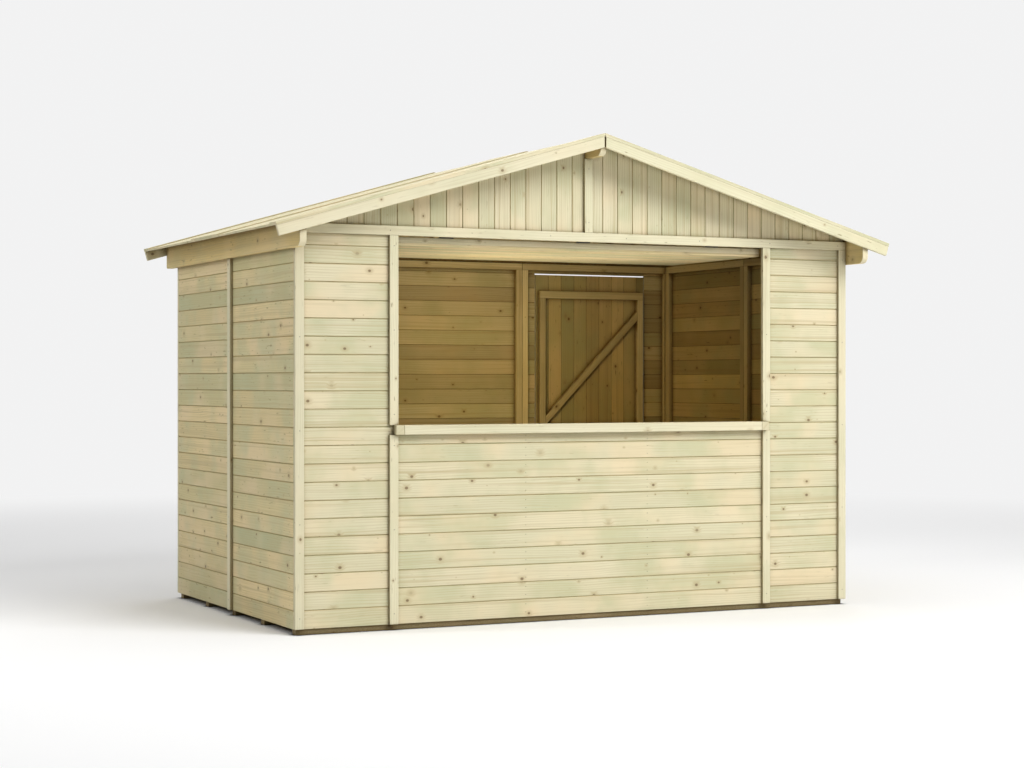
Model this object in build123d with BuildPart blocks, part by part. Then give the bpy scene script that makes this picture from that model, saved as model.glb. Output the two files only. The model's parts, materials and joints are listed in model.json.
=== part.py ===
"""A wooden market stall: boarded panels on a timber floor, an open serving bay
over a counter ledge, a hatch folded up inside, a back door and a shallow
gabled roof on three shaped purlins. Millimetres, Z up, front towards -Y."""

import math
import os

from build123d import *

os.makedirs("parts", exist_ok=True)

# Overall sizes of the boarded walls
wall_width = 3050
wall_depth = 1820
panel_height = 1824
board_clear = 28
panel_gap = 2

# Timber sections
board_thick = 12
frame_depth = 28
frame_width = 37
strip_width = 44
strip_thick = 16

# Floor
bearer_count = 5
bearer_width = 45
bearer_height = 42
floor_thick = 12

# Serving bay, counter and hatch
bay_width = 2068
ledge_top = 961
ledge_height = 44
ledge_proud = 40
counter_upright_count = 4
strip_cut_gap = 1
hatch_side_gap = 6
hatch_hinge_gap = 6
hatch_head_gap = 3
hatch_ledge_gap = 8
hinge_leaf_thick = 2
hinge_leaf_reach = 40
hinge_length = 75
hinge_pitch_share = 0.36
hinge_knuckle_radius = 2.5

# Back wall and its door
door_panel_width = 1000
door_left_margin = 100
door_right_margin = 178
doorway_head_height = 55
door_head_gap = 7
door_side_gap = 6
door_floor_gap = 7
door_frame_inset = 16
door_ledge_height = 42
door_ledge_inset = 95
door_middle_ledge_rise = 808
brace_cut_height = 52
upper_brace_head_gap = 69
lower_brace_head_gap = 3
strap_length = 300
strap_height = 34
strap_tip_height = 16
strap_thick = 3
barrel_radius = 5
barrel_lift = 1
barrel_inset = 7
knuckle_height = 18
knuckle_gap = 0.3
knuckle_tab_lift = 2
hinge_plate_width = 38
hinge_plate_height = 110
hinge_plate_gap = 3

# Roof
roof_pitch = 16.1
gable_heel = 58
gable_rail_lift = 18
eave_overhang = 154
front_overhang = 185
back_overhang = 130
deck_thick = 16
verge_board_width = 88
middle_run_width = 427
field_drop = 6
ridge_gap = 4
barge_depth = 50
barge_thick = 18
barge_gap = 8
purlin_thick = 32
ridge_purlin_depth = 91
eave_purlin_depth = 132
purlin_front_round = 36
purlin_back_round = 12
purlin_notch_gap = 1

# Places worked out from the sizes above
LOW = (Align.MIN, Align.MIN, Align.MIN)
slope = math.tan(math.radians(roof_pitch))
pitch_cos = math.cos(math.radians(roof_pitch))
pitch_sin = math.sin(math.radians(roof_pitch))
wall_thick = board_thick + frame_depth
roof_length = front_overhang + wall_depth + back_overhang
roof_front = -roof_length / 2
roof_back = roof_length / 2
front_face = roof_front + front_overhang
back_face = front_face + wall_depth
middle_y = (front_face + back_face) / 2
half_width = wall_width / 2
half_bay = bay_width / 2
half_gap = panel_gap / 2
half_strip = strip_width / 2
wall_low = board_clear
wall_top = board_clear + panel_height
floor_top = bearer_height + floor_thick
ledge_low = ledge_top - ledge_height
fascia_top = wall_top + strip_width
upright_low = floor_top + frame_width
upright_height = wall_top - frame_width - upright_low
gable_rail_low = wall_top + gable_rail_lift
gable_rail_top = gable_rail_low + frame_width
under_apex = wall_top + gable_heel + slope * half_width
apex_height = under_apex + deck_thick / pitch_cos
ridge_purlin_low = under_apex - ridge_purlin_depth
eave_purlin_low = wall_top + gable_heel - eave_purlin_depth
half_purlin = purlin_thick / 2
notch_side = half_purlin + purlin_notch_gap
notch_low = ridge_purlin_low - purlin_notch_gap


def under_roof(x):
    """Height of the roof boards' underside at a place across the stall."""
    return under_apex - slope * abs(x)


# Floor bearers, laid along the width so that their ends show under the side walls
floor_length = wall_width - 2 * board_thick
floor_depth = wall_depth - 2 * board_thick
bearer_pitch = (floor_depth - bearer_width) / (bearer_count - 1)

with BuildPart() as floor_bearers:
    with Locations((0, middle_y, bearer_height / 2)):
        with GridLocations(floor_length, bearer_pitch, 1, bearer_count):
            Box(floor_length, bearer_width, bearer_height)
floor_bearers.part.label = "floor_bearers"
export_step(floor_bearers.part, "parts/floor_bearers.step")

with BuildPart() as floor_boards:
    with Locations((0, middle_y, bearer_height + floor_thick / 2)):
        Box(floor_length, floor_depth, floor_thick)
floor_boards.part.label = "floor_boards"
export_step(floor_boards.part, "parts/floor_boards.step")

# Side walls: two panels each, with a joint halfway back
side_board_length = (wall_depth - 2 * board_thick - panel_gap) / 2
side_rail_length = (wall_depth - 2 * wall_thick - panel_gap) / 2
side_frame_front = front_face + wall_thick
side_back_panel = middle_y + half_gap
side_upright_places = (
    side_frame_front,
    middle_y - half_gap - frame_width,
    side_back_panel,
    back_face - wall_thick - frame_width,
)
left_frame_x = -half_width + board_thick
right_frame_x = half_width - wall_thick

with BuildPart() as left_wall_boards:
    with Locations(
        (-half_width, front_face + board_thick, wall_low),
        (-half_width, side_back_panel, wall_low),
    ):
        Box(board_thick, side_board_length, panel_height, align=LOW)
left_wall_boards.part.label = "left_wall_boards"
export_step(left_wall_boards.part, "parts/left_wall_boards.step")

with BuildPart() as left_wall_uprights:
    with Locations(*[(left_frame_x, y, upright_low) for y in side_upright_places]):
        Box(frame_depth, frame_width, upright_height, align=LOW)
left_wall_uprights.part.label = "left_wall_uprights"
export_step(left_wall_uprights.part, "parts/left_wall_uprights.step")

with BuildPart() as left_wall_rails:
    with Locations(
        (left_frame_x, side_frame_front, floor_top),
        (left_frame_x, side_back_panel, floor_top),
        (left_frame_x, side_frame_front, wall_top - frame_width),
        (left_frame_x, side_back_panel, wall_top - frame_width),
    ):
        Box(frame_depth, side_rail_length, frame_width, align=LOW)
left_wall_rails.part.label = "left_wall_rails"
export_step(left_wall_rails.part, "parts/left_wall_rails.step")

with BuildPart() as right_wall_boards:
    add(left_wall_boards.part.mirror(Plane.YZ))
right_wall_boards.part.label = "right_wall_boards"
export_step(right_wall_boards.part, "parts/right_wall_boards.step")

with BuildPart() as right_wall_uprights:
    add(left_wall_uprights.part.mirror(Plane.YZ))
right_wall_uprights.part.label = "right_wall_uprights"
export_step(right_wall_uprights.part, "parts/right_wall_uprights.step")

with BuildPart() as right_wall_rails:
    add(left_wall_rails.part.mirror(Plane.YZ))
right_wall_rails.part.label = "right_wall_rails"
export_step(right_wall_rails.part, "parts/right_wall_rails.step")

# Back wall: two plain panels and a door panel at the right, seen from the front
door_joint_x = half_width - door_panel_width
plain_joint_x = (-half_width + door_joint_x) / 2
plain_board_length = plain_joint_x + half_width - half_gap
middle_board_length = door_joint_x - plain_joint_x - panel_gap
door_left = door_joint_x + door_left_margin
door_right = half_width - door_right_margin
door_width = door_right - door_left
doorway_left = door_left - door_side_gap
doorway_right = door_right + door_side_gap
doorway_head_low = wall_top - doorway_head_height
door_top = doorway_head_low - door_head_gap
doorway_left_width = doorway_left - door_joint_x - half_gap
doorway_right_width = half_width - doorway_right
back_frame_y = back_face - wall_thick
back_board_y = back_face - board_thick
back_upright_places = (
    left_frame_x,
    plain_joint_x - half_gap - frame_width,
    plain_joint_x + half_gap,
    door_joint_x - half_gap - frame_width,
    door_joint_x + half_gap,
    half_width - board_thick - frame_width,
)

with BuildPart() as back_wall_boards:
    with Locations((-half_width, back_board_y, wall_low)):
        Box(plain_board_length, board_thick, panel_height, align=LOW)
    with Locations((plain_joint_x + half_gap, back_board_y, wall_low)):
        Box(middle_board_length, board_thick, panel_height, align=LOW)
back_wall_boards.part.label = "back_wall_boards"
export_step(back_wall_boards.part, "parts/back_wall_boards.step")

with BuildPart() as doorway_side_boards:
    with Locations((door_joint_x + half_gap, back_board_y, wall_low)):
        Box(doorway_left_width, board_thick, panel_height, align=LOW)
    with Locations((doorway_right, back_board_y, wall_low)):
        Box(doorway_right_width, board_thick, panel_height, align=LOW)
doorway_side_boards.part.label = "doorway_side_boards"
export_step(doorway_side_boards.part, "parts/doorway_side_boards.step")

with BuildPart() as doorway_head_boards:
    with Locations((doorway_left, back_board_y, doorway_head_low)):
        Box(doorway_right - doorway_left, board_thick, wall_top - doorway_head_low, align=LOW)
doorway_head_boards.part.label = "doorway_head_boards"
export_step(doorway_head_boards.part, "parts/doorway_head_boards.step")

with BuildPart() as back_wall_uprights:
    with Locations(*[(x, back_frame_y, upright_low) for x in back_upright_places]):
        Box(frame_width, frame_depth, upright_height, align=LOW)
back_wall_uprights.part.label = "back_wall_uprights"
export_step(back_wall_uprights.part, "parts/back_wall_uprights.step")

plain_rail_length = plain_board_length - board_thick
door_rail_length = door_panel_width - board_thick - half_gap

with BuildPart() as back_wall_rails:
    with Locations(
        (left_frame_x, back_frame_y, floor_top),
        (left_frame_x, back_frame_y, wall_top - frame_width),
    ):
        Box(plain_rail_length, frame_depth, frame_width, align=LOW)
    with Locations(
        (plain_joint_x + half_gap, back_frame_y, floor_top),
        (plain_joint_x + half_gap, back_frame_y, wall_top - frame_width),
    ):
        Box(middle_board_length, frame_depth, frame_width, align=LOW)
    with Locations((door_joint_x + half_gap, back_frame_y, wall_top - frame_width)):
        Box(door_rail_length, frame_depth, frame_width, align=LOW)
    with Locations((door_joint_x + half_gap, back_frame_y, floor_top)):
        Box(doorway_left_width, frame_depth, frame_width, align=LOW)
    with Locations((doorway_right, back_frame_y, floor_top)):
        Box(doorway_right_width - board_thick, frame_depth, frame_width, align=LOW)
back_wall_rails.part.label = "back_wall_rails"
export_step(back_wall_rails.part, "parts/back_wall_rails.step")

# Front wall: a narrow panel each side of the serving bay
front_board_length = half_width - half_bay - half_gap
front_rail_length = front_board_length - board_thick
front_frame_y = front_face + board_thick
front_right_panel = half_bay + half_gap
front_upright_places = (
    left_frame_x,
    -front_right_panel - frame_width,
    front_right_panel,
    half_width - board_thick - frame_width,
)

with BuildPart() as front_wall_boards:
    with Locations((-half_width, front_face, wall_low), (front_right_panel, front_face, wall_low)):
        Box(front_board_length, board_thick, panel_height, align=LOW)
front_wall_boards.part.label = "front_wall_boards"
export_step(front_wall_boards.part, "parts/front_wall_boards.step")

with BuildPart() as front_wall_uprights:
    with Locations(*[(x, front_frame_y, upright_low) for x in front_upright_places]):
        Box(frame_width, frame_depth, upright_height, align=LOW)
front_wall_uprights.part.label = "front_wall_uprights"
export_step(front_wall_uprights.part, "parts/front_wall_uprights.step")

with BuildPart() as front_wall_rails:
    with Locations(
        (left_frame_x, front_frame_y, floor_top),
        (front_right_panel, front_frame_y, floor_top),
        (left_frame_x, front_frame_y, wall_top - frame_width),
        (front_right_panel, front_frame_y, wall_top - frame_width),
    ):
        Box(front_rail_length, frame_depth, frame_width, align=LOW)
front_wall_rails.part.label = "front_wall_rails"
export_step(front_wall_rails.part, "parts/front_wall_rails.step")

# Counter: a low panel across the bay with a ledge along its top
counter_length = bay_width - panel_gap
counter_upright_height = ledge_low - frame_width - upright_low
counter_upright_pitch = (counter_length - frame_width) / (counter_upright_count - 1)

with BuildPart() as counter_panel_boards:
    with Locations((-counter_length / 2, front_face, wall_low)):
        Box(counter_length, board_thick, ledge_low - wall_low, align=LOW)
counter_panel_boards.part.label = "counter_panel_boards"
export_step(counter_panel_boards.part, "parts/counter_panel_boards.step")

with BuildPart() as counter_panel_uprights:
    with Locations((0, front_frame_y + frame_depth / 2, upright_low + counter_upright_height / 2)):
        with GridLocations(counter_upright_pitch, frame_depth, counter_upright_count, 1):
            Box(frame_width, frame_depth, counter_upright_height)
counter_panel_uprights.part.label = "counter_panel_uprights"
export_step(counter_panel_uprights.part, "parts/counter_panel_uprights.step")

with BuildPart() as counter_panel_rails:
    with Locations(
        (-counter_length / 2, front_frame_y, floor_top),
        (-counter_length / 2, front_frame_y, ledge_low - frame_width),
    ):
        Box(counter_length, frame_depth, frame_width, align=LOW)
counter_panel_rails.part.label = "counter_panel_rails"
export_step(counter_panel_rails.part, "parts/counter_panel_rails.step")

with BuildPart() as counter_ledge:
    with Locations((-counter_length / 2, front_face - ledge_proud, ledge_low)):
        Box(counter_length, ledge_proud + wall_thick, ledge_height, align=LOW)
counter_ledge.part.label = "counter_ledge"
export_step(counter_ledge.part, "parts/counter_ledge.step")

# Gables: two boarded halves each, notched round the ridge purlin
with BuildPart() as front_gable_boards:
    with BuildSketch(Plane.XZ.offset(-front_face)):
        with BuildLine():
            Polyline(
                (half_width, wall_top),
                (half_width, under_roof(half_width)),
                (notch_side, under_roof(notch_side)),
                (notch_side, notch_low),
                (half_gap, notch_low),
                (half_gap, wall_top),
                close=True,
            )
        make_face()
        mirror(about=Plane.YZ)
    extrude(amount=-board_thick)
front_gable_boards.part.label = "front_gable_boards"
export_step(front_gable_boards.part, "parts/front_gable_boards.step")

with BuildPart() as back_gable_boards:
    with Locations((0, wall_depth - board_thick, 0)):
        add(front_gable_boards.part)
back_gable_boards.part.label = "back_gable_boards"
export_step(back_gable_boards.part, "parts/back_gable_boards.step")

# Gable rails stand a little above the wall heads, which leaves a shadow line inside
gable_rail_length = half_width - board_thick - half_gap

with BuildPart() as gable_rails:
    with Locations(
        (left_frame_x, front_frame_y, gable_rail_low),
        (half_gap, front_frame_y, gable_rail_low),
        (left_frame_x, back_frame_y, gable_rail_low),
        (half_gap, back_frame_y, gable_rail_low),
    ):
        Box(gable_rail_length, frame_depth, frame_width, align=LOW)
gable_rails.part.label = "gable_rails"
export_step(gable_rails.part, "parts/gable_rails.step")

# Gable frames: rafters along the roof line and posts under the ridge purlin
rafter_drop = frame_width / pitch_cos
rafter_foot = (under_apex - rafter_drop - gable_rail_top) / slope
rafter_outer = half_width - board_thick
gable_post_height = ridge_purlin_low - gable_rail_top

with BuildPart() as gable_frames:
    with BuildSketch(Plane.XZ.offset(-front_frame_y), Plane.XZ.offset(-back_frame_y)):
        with BuildLine():
            Polyline(
                (rafter_foot, gable_rail_top),
                (rafter_outer, gable_rail_top),
                (rafter_outer, under_roof(rafter_outer)),
                (notch_side, under_roof(notch_side)),
                (notch_side, under_roof(notch_side) - rafter_drop),
                close=True,
            )
        make_face()
        mirror(about=Plane.YZ)
    extrude(amount=-frame_depth)
    with Locations(
        (-half_gap - frame_width, front_frame_y, gable_rail_top),
        (half_gap, front_frame_y, gable_rail_top),
        (-half_gap - frame_width, back_frame_y, gable_rail_top),
        (half_gap, back_frame_y, gable_rail_top),
    ):
        Box(frame_width, frame_depth, gable_post_height, align=LOW)
gable_frames.part.label = "gable_frames"
export_step(gable_frames.part, "parts/gable_frames.step")

# Purlins: tops planed to the roof, front ends well rounded below, back ends eased
purlin_front = roof_front + barge_thick
purlin_back = roof_back - barge_thick
purlin_length = purlin_back - purlin_front
eave_purlin_outer = half_width + purlin_thick

with BuildPart() as ridge_purlin:
    with BuildSketch(Plane.XZ.offset(-purlin_front)):
        with BuildLine():
            Polyline(
                (-half_purlin, ridge_purlin_low),
                (half_purlin, ridge_purlin_low),
                (half_purlin, under_roof(half_purlin)),
                (0, under_apex),
                (-half_purlin, under_roof(half_purlin)),
                close=True,
            )
        make_face()
    extrude(amount=-purlin_length)
    front_arris = ridge_purlin.edges().filter_by(Axis.X).group_by(Axis.Z)[0].sort_by(Axis.Y)[0]
    fillet(front_arris, radius=purlin_front_round)
    back_arris = ridge_purlin.edges().filter_by(Axis.X).group_by(Axis.Z)[0].sort_by(Axis.Y)[-1]
    fillet(back_arris, radius=purlin_back_round)
ridge_purlin.part.label = "ridge_purlin"
export_step(ridge_purlin.part, "parts/ridge_purlin.step")

with BuildPart() as right_purlin:
    with BuildSketch(Plane.XZ.offset(-purlin_front)):
        with BuildLine():
            Polyline(
                (half_width, eave_purlin_low),
                (eave_purlin_outer, eave_purlin_low),
                (eave_purlin_outer, under_roof(eave_purlin_outer)),
                (half_width, under_roof(half_width)),
                close=True,
            )
        make_face()
    extrude(amount=-purlin_length)
    front_end = right_purlin.edges().filter_by(Axis.X).group_by(Axis.Z)[0].sort_by(Axis.Y)[0]
    fillet(front_end, radius=purlin_front_round)
    back_end = right_purlin.edges().filter_by(Axis.X).group_by(Axis.Z)[0].sort_by(Axis.Y)[-1]
    fillet(back_end, radius=purlin_back_round)

with BuildPart() as eave_purlins:
    add(right_purlin.part)
    add(right_purlin.part.mirror(Plane.YZ))
eave_purlins.part.label = "eave_purlins"
export_step(eave_purlins.part, "parts/eave_purlins.step")

# Roof: one boarded slope each side, with bargeboards under its front and back edges.
# The verge boards and a middle run of boards stand proud of the field between them.
eave_x = half_width + eave_overhang
eave_z = apex_height - slope * eave_x
half_ridge_gap = ridge_gap / 2
half_barge_gap = barge_gap / 2
deck_drop = deck_thick / pitch_cos
barge_drop = (deck_thick + barge_depth) / pitch_cos
eave_deck_x = eave_x - deck_thick * pitch_sin
eave_deck_z = eave_z - deck_thick * pitch_cos
eave_barge_x = eave_x - (deck_thick + barge_depth) * pitch_sin
eave_barge_z = eave_z - (deck_thick + barge_depth) * pitch_cos
eave_field_x = eave_x - field_drop * pitch_sin
eave_field_z = eave_z - field_drop * pitch_cos
ridge_edge_z = apex_height - slope * half_ridge_gap
field_length = (roof_length - middle_run_width) / 2 - verge_board_width

with BuildPart() as right_roof_boards:
    with BuildSketch(Plane.XZ.offset(-roof_front)):
        with BuildLine():
            Polyline(
                (half_ridge_gap, ridge_edge_z),
                (eave_x, eave_z),
                (eave_deck_x, eave_deck_z),
                (half_ridge_gap, ridge_edge_z - deck_drop),
                close=True,
            )
        make_face()
    extrude(amount=-roof_length)
    for field_front in (roof_front + verge_board_width, middle_run_width / 2):
        with BuildSketch(Plane.XZ.offset(-field_front)):
            with BuildLine():
                Polyline(
                    (half_ridge_gap, ridge_edge_z),
                    (eave_x, eave_z),
                    (eave_field_x, eave_field_z),
                    (half_ridge_gap, ridge_edge_z - field_drop / pitch_cos),
                    close=True,
                )
            make_face()
        extrude(amount=-field_length, mode=Mode.SUBTRACT)
right_roof_boards.part.label = "right_roof_boards"
export_step(right_roof_boards.part, "parts/right_roof_boards.step")

with BuildPart() as left_roof_boards:
    add(right_roof_boards.part.mirror(Plane.YZ))
left_roof_boards.part.label = "left_roof_boards"
export_step(left_roof_boards.part, "parts/left_roof_boards.step")

with BuildPart() as front_bargeboards:
    with BuildSketch(Plane.XZ.offset(-roof_front)):
        with BuildLine():
            Polyline(
                (half_barge_gap, apex_height - slope * half_barge_gap - deck_drop),
                (eave_deck_x, eave_deck_z),
                (eave_barge_x, eave_barge_z),
                (half_barge_gap, apex_height - slope * half_barge_gap - barge_drop),
                close=True,
            )
        make_face()
        mirror(about=Plane.YZ)
    extrude(amount=-barge_thick)
front_bargeboards.part.label = "front_bargeboards"
export_step(front_bargeboards.part, "parts/front_bargeboards.step")

with BuildPart() as back_bargeboards:
    with Locations((0, roof_length - barge_thick, 0)):
        add(front_bargeboards.part)
back_bargeboards.part.label = "back_bargeboards"
export_step(back_bargeboards.part, "parts/back_bargeboards.step")

# Cover strips over the corners, the panel joints, the wall heads and the gable joints
front_strip_y = front_face - strip_thick

with BuildPart() as corner_strips:
    with Locations(
        (-half_width, front_strip_y, wall_low),
        (half_width - strip_width, front_strip_y, wall_low),
        (-half_width, back_face, wall_low),
        (half_width - strip_width, back_face, wall_low),
    ):
        Box(strip_width, strip_thick, panel_height, align=LOW)
corner_strips.part.label = "corner_strips"
export_step(corner_strips.part, "parts/corner_strips.step")

lower_strip_height = ledge_low - strip_cut_gap - wall_low
upper_strip_low = ledge_top + strip_cut_gap

with BuildPart() as bay_strips:
    with Locations(
        (-half_bay - half_strip, front_strip_y, wall_low),
        (half_bay - half_strip, front_strip_y, wall_low),
    ):
        Box(strip_width, strip_thick, lower_strip_height, align=LOW)
    with Locations(
        (-half_bay - half_strip, front_strip_y, upper_strip_low),
        (half_bay - half_strip, front_strip_y, upper_strip_low),
    ):
        Box(strip_width, strip_thick, wall_top - upper_strip_low, align=LOW)
bay_strips.part.label = "bay_strips"
export_step(bay_strips.part, "parts/bay_strips.step")

with BuildPart() as joint_strips:
    with Locations(
        (-half_width - strip_thick, middle_y - half_strip, wall_low),
        (half_width, middle_y - half_strip, wall_low),
    ):
        Box(strip_thick, strip_width, eave_purlin_low - wall_low, align=LOW)
    with Locations(
        (plain_joint_x - half_strip, back_face, wall_low),
        (door_joint_x - half_strip, back_face, wall_low),
    ):
        Box(strip_width, strip_thick, panel_height, align=LOW)
joint_strips.part.label = "joint_strips"
export_step(joint_strips.part, "parts/joint_strips.step")

with BuildPart() as head_strips:
    with Locations((-half_width, front_strip_y, wall_top), (-half_width, back_face, wall_top)):
        Box(wall_width, strip_thick, strip_width, align=LOW)
head_strips.part.label = "head_strips"
export_step(head_strips.part, "parts/head_strips.step")

with BuildPart() as gable_strips:
    with Locations((-half_strip, front_strip_y, fascia_top), (-half_strip, back_face, fascia_top)):
        Box(strip_width, strip_thick, ridge_purlin_low - fascia_top, align=LOW)
gable_strips.part.label = "gable_strips"
export_step(gable_strips.part, "parts/gable_strips.step")

# Serving hatch, folded up inside under the wall heads with its boarded face down
hatch_width = bay_width - 2 * hatch_side_gap
hatch_front = front_face + wall_thick + hatch_hinge_gap
hatch_depth = wall_top - ledge_top - hatch_head_gap - hatch_ledge_gap
hatch_top = wall_top - hatch_head_gap
hatch_frame_low = hatch_top - frame_depth
hatch_low = hatch_frame_low - board_thick
hatch_stile_length = hatch_depth - 2 * frame_width

with BuildPart() as hatch_boards:
    with Locations((-hatch_width / 2, hatch_front, hatch_low)):
        Box(hatch_width, hatch_depth, board_thick, align=LOW)
hatch_boards.part.label = "hatch_boards"
export_step(hatch_boards.part, "parts/hatch_boards.step")

with BuildPart() as hatch_rails:
    with Locations(
        (-hatch_width / 2, hatch_front, hatch_frame_low),
        (-hatch_width / 2, hatch_front + hatch_depth - frame_width, hatch_frame_low),
    ):
        Box(hatch_width, frame_width, frame_depth, align=LOW)
hatch_rails.part.label = "hatch_rails"
export_step(hatch_rails.part, "parts/hatch_rails.step")

with BuildPart() as hatch_stiles:
    with Locations(
        (-hatch_width / 2, hatch_front + frame_width, hatch_frame_low),
        (-frame_width / 2, hatch_front + frame_width, hatch_frame_low),
        (hatch_width / 2 - frame_width, hatch_front + frame_width, hatch_frame_low),
    ):
        Box(frame_width, hatch_stile_length, frame_depth, align=LOW)
hatch_stiles.part.label = "hatch_stiles"
export_step(hatch_stiles.part, "parts/hatch_stiles.step")

# Hatch hinges: one leaf on the head rail, one on top of the hatch
knuckle_y = front_face + wall_thick + hatch_hinge_gap / 2
knuckle_z = hatch_top + hinge_knuckle_radius
leaf_y = front_face + wall_thick
hinge_pitch = hatch_width * hinge_pitch_share

with BuildPart() as hatch_hinges:
    with Locations(*[(x, 0, 0) for x in (-hinge_pitch, 0, hinge_pitch)]):
        with Locations((0, knuckle_y, knuckle_z)):
            Cylinder(hinge_knuckle_radius, hinge_length, rotation=(0, 90, 0))
        with Locations((-hinge_length / 2, leaf_y, knuckle_z)):
            Box(hinge_length, hinge_leaf_thick, hinge_leaf_reach, align=LOW)
        with Locations((-hinge_length / 2, knuckle_y, hatch_top)):
            Box(hinge_length, hinge_leaf_reach, hinge_leaf_thick, align=LOW)
hatch_hinges.part.label = "hatch_hinges"
export_step(hatch_hinges.part, "parts/hatch_hinges.step")

# Back door: upright boards on three ledges, four stiles and two braces
door_low = floor_top + door_floor_gap
door_frame_left = door_left + door_frame_inset
door_frame_right = door_right - door_frame_inset
door_frame_width = door_frame_right - door_frame_left
door_stile_right = door_frame_right - frame_width
top_ledge_low = door_top - door_ledge_inset - door_ledge_height
middle_ledge_low = door_low + door_middle_ledge_rise
middle_ledge_top = middle_ledge_low + door_ledge_height
bottom_ledge_low = door_low + door_ledge_inset
bottom_ledge_top = bottom_ledge_low + door_ledge_height
brace_left = door_frame_left + frame_width
upper_brace_head = top_ledge_low - upper_brace_head_gap
lower_brace_head = middle_ledge_low - lower_brace_head_gap

with BuildPart() as door_boards:
    with Locations((door_left, back_board_y, door_low)):
        Box(door_width, board_thick, door_top - door_low, align=LOW)
door_boards.part.label = "door_boards"
export_step(door_boards.part, "parts/door_boards.step")

with BuildPart() as door_ledges:
    with Locations(
        (door_frame_left, back_frame_y, top_ledge_low),
        (door_frame_left, back_frame_y, middle_ledge_low),
        (door_frame_left, back_frame_y, bottom_ledge_low),
    ):
        Box(door_frame_width, frame_depth, door_ledge_height, align=LOW)
door_ledges.part.label = "door_ledges"
export_step(door_ledges.part, "parts/door_ledges.step")

with BuildPart() as door_stiles:
    with Locations(
        (door_frame_left, back_frame_y, middle_ledge_top),
        (door_stile_right, back_frame_y, middle_ledge_top),
    ):
        Box(frame_width, frame_depth, top_ledge_low - middle_ledge_top, align=LOW)
    with Locations(
        (door_frame_left, back_frame_y, bottom_ledge_top),
        (door_stile_right, back_frame_y, bottom_ledge_top),
    ):
        Box(frame_width, frame_depth, middle_ledge_low - bottom_ledge_top, align=LOW)
door_stiles.part.label = "door_stiles"
export_step(door_stiles.part, "parts/door_stiles.step")

with BuildPart() as door_braces:
    with BuildSketch(Plane.XZ.offset(-back_frame_y)):
        for foot, head in ((middle_ledge_top, upper_brace_head), (bottom_ledge_top, lower_brace_head)):
            with BuildLine():
                Polyline(
                    (brace_left, foot),
                    (door_stile_right, head - brace_cut_height),
                    (door_stile_right, head),
                    (brace_left, foot + brace_cut_height),
                    close=True,
                )
            make_face()
    extrude(amount=-frame_depth)
door_braces.part.label = "door_braces"
export_step(door_braces.part, "parts/door_braces.step")

# Door hinges: tapered straps with a barrel on the door, plates with two knuckles on the wall
barrel_x = door_left + barrel_inset
barrel_y = back_face + barrel_lift + barrel_radius
top_hinge_z = top_ledge_low + door_ledge_height / 2
bottom_hinge_z = bottom_ledge_low + door_ledge_height / 2

with BuildPart() as door_hinge_straps:
    with BuildSketch(Plane.XZ.offset(-back_face)):
        for hinge_z in (top_hinge_z, bottom_hinge_z):
            with BuildLine():
                Polyline(
                    (barrel_x, hinge_z - strap_height / 2),
                    (barrel_x + strap_length, hinge_z - strap_tip_height / 2),
                    (barrel_x + strap_length, hinge_z + strap_tip_height / 2),
                    (barrel_x, hinge_z + strap_height / 2),
                    close=True,
                )
            make_face()
    extrude(amount=-strap_thick)
    with Locations((barrel_x, barrel_y, top_hinge_z), (barrel_x, barrel_y, bottom_hinge_z)):
        Cylinder(barrel_radius, strap_height)
door_hinge_straps.part.label = "door_hinge_straps"
export_step(door_hinge_straps.part, "parts/door_hinge_straps.step")

hinge_plate_x = doorway_left - hinge_plate_gap - hinge_plate_width
knuckle_tab_length = barrel_x - hinge_plate_x
knuckle_offset = strap_height / 2 + knuckle_gap + knuckle_height / 2
knuckle_places = (
    top_hinge_z - knuckle_offset,
    top_hinge_z + knuckle_offset,
    bottom_hinge_z - knuckle_offset,
    bottom_hinge_z + knuckle_offset,
)

with BuildPart() as door_hinge_plates:
    with Locations(
        (hinge_plate_x, back_face, top_hinge_z - hinge_plate_height / 2),
        (hinge_plate_x, back_face, bottom_hinge_z - hinge_plate_height / 2),
    ):
        Box(hinge_plate_width, strap_thick, hinge_plate_height, align=LOW)
    with Locations(*[(0, 0, z) for z in knuckle_places]):
        with Locations((barrel_x, barrel_y, 0)):
            Cylinder(barrel_radius, knuckle_height)
        with Locations((barrel_x, back_face + knuckle_tab_lift, -knuckle_height / 2)):
            Box(knuckle_tab_length, strap_thick, knuckle_height, align=(Align.MAX, Align.MIN, Align.MIN))
door_hinge_plates.part.label = "door_hinge_plates"
export_step(door_hinge_plates.part, "parts/door_hinge_plates.step")
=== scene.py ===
"""Looks for the wooden market stall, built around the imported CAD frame.

Each boarded face becomes real tongue-and-groove boards with V joints, each
timber gets eased edges and its own run of grain, and the hinges get screws.
Metres, in the CAD frame: +X right along the front, +Y to the back, +Z up."""

import json
import math
import random

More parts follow.
